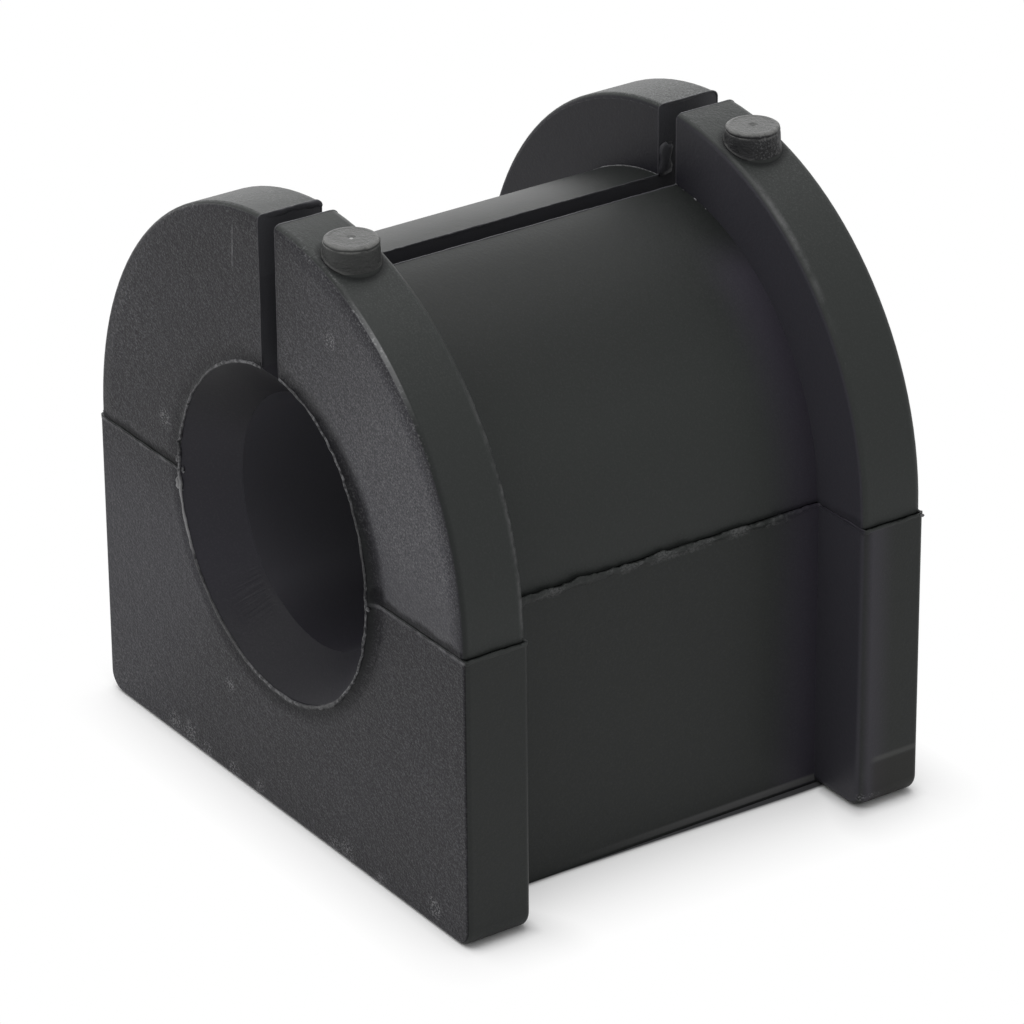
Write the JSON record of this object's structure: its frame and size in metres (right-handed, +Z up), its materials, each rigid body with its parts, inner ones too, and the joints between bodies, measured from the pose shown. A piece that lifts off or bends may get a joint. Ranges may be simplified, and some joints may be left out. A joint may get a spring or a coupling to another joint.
{
  "type": "sway bar bushing",
  "caption": "D-shaped black rubber bushing with two end flanges, a narrower barrel for a bracket strap, a flared bore for a stabiliser bar and a slit from the bore to the top.",
  "frame": {"origin": "middle of the straight bore, on the bar's axis and on the mould's parting plane", "axes": "+Y along the bar, away from the end whose flange edges are crisper; +Z up through the slit; +X towards the nubs"},
  "size_m": [0.0476, 0.039, 0.0469],
  "materials": {
    "rubber": "matte moulded rubber with a fine grain, a light bloom and torn mould flash"
  },
  "bodies": {
    "root": {"bushing": "rubber"}
  },
  "joints": []
}
